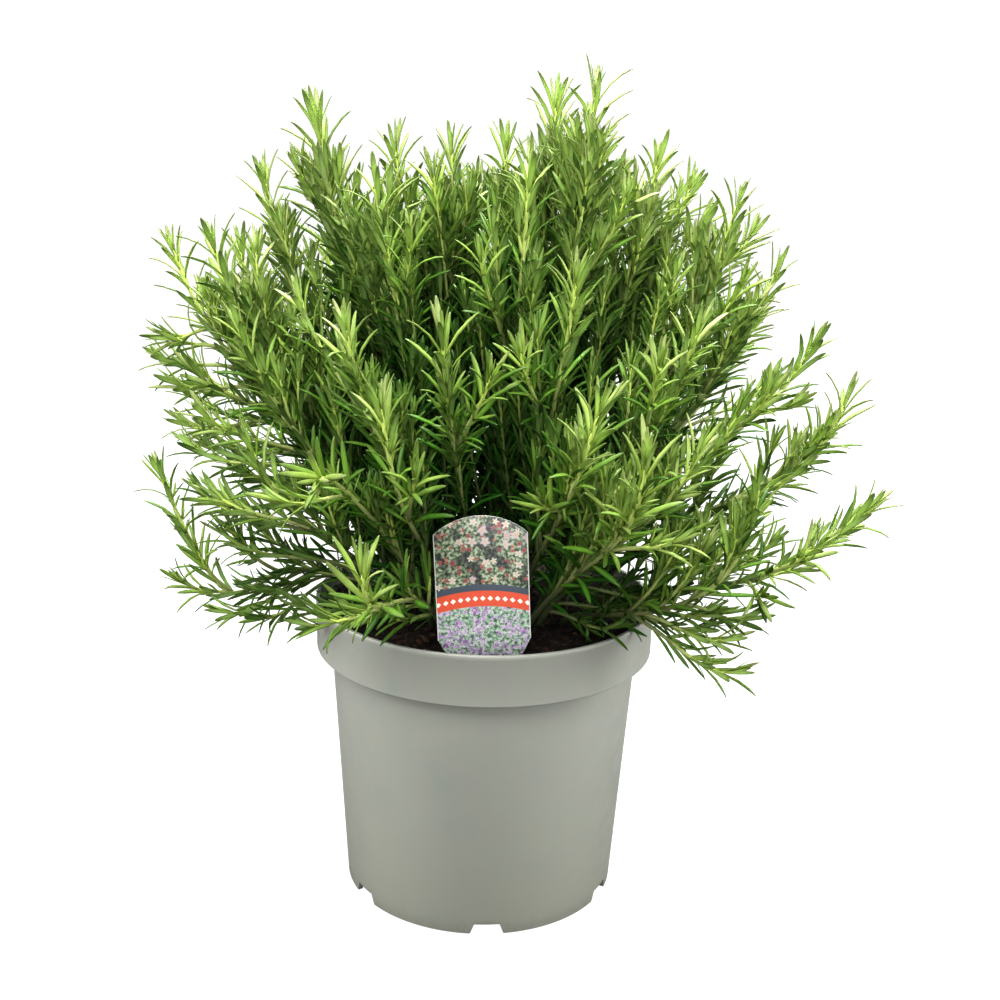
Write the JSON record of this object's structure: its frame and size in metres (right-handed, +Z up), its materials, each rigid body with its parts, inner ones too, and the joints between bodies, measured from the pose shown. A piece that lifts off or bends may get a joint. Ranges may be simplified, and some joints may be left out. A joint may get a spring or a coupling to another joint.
{
  "type": "potted rosemary plant",
  "caption": "Bushy rosemary with needle leaves on upright and arching stems, in compost in a round tapered nursery pot with a rim band, with a plant label.",
  "frame": {"origin": "on the ground at the axis of the pot", "axes": "+Z up along the axis of the pot, -Y towards the front with the label, +X to the right seen from the front"},
  "size_m": [0.4105, 0.323, 0.4596],
  "materials": {
    "pot_plastic": "satin moulded polypropylene, grey-green",
    "compost": "damp crumbly peat and bark compost",
    "label_plastic": "printed glossy plastic sheet",
    "foliage": "green needle leaves with pale undersides on green to woody stems"
  },
  "bodies": {
    "root": {"pot": "pot_plastic", "soil": "compost", "label": "label_plastic", "leafy_stem_01": "foliage", "leafy_stem_02": "foliage", "leafy_stem_03": "foliage", "leafy_stem_04": "foliage", "leafy_stem_05": "foliage", "leafy_stem_06": "foliage", "leafy_stem_07": "foliage", "leafy_stem_08": "foliage", "leafy_stem_09": "foliage", "leafy_stem_10": "foliage", "leafy_stem_11": "foliage", "leafy_stem_12": "foliage", "leafy_stem_13": "foliage", "leafy_stem_14": "foliage", "leafy_stem_15": "foliage", "leafy_stem_16": "foliage", "leafy_stem_17": "foliage", "leafy_stem_18": "foliage", "leafy_stem_19": "foliage", "leafy_stem_20": "foliage", "leafy_stem_21": "foliage", "leafy_stem_22": "foliage", "leafy_stem_23": "foliage", "leafy_stem_24": "foliage", "leafy_stem_25": "foliage", "leafy_stem_26": "foliage", "leafy_stem_27": "foliage", "leafy_stem_28": "foliage", "leafy_stem_29": "foliage", "leafy_stem_30": "foliage", "leafy_stem_31": "foliage", "leafy_stem_32": "foliage", "leafy_stem_33": "foliage", "leafy_stem_34": "foliage", "leafy_stem_35": "foliage", "leafy_stem_36": "foliage", "leafy_stem_37": "foliage", "leafy_stem_38": "foliage", "leafy_stem_39": "foliage", "leafy_stem_40": "foliage"}
  },
  "joints": []
}
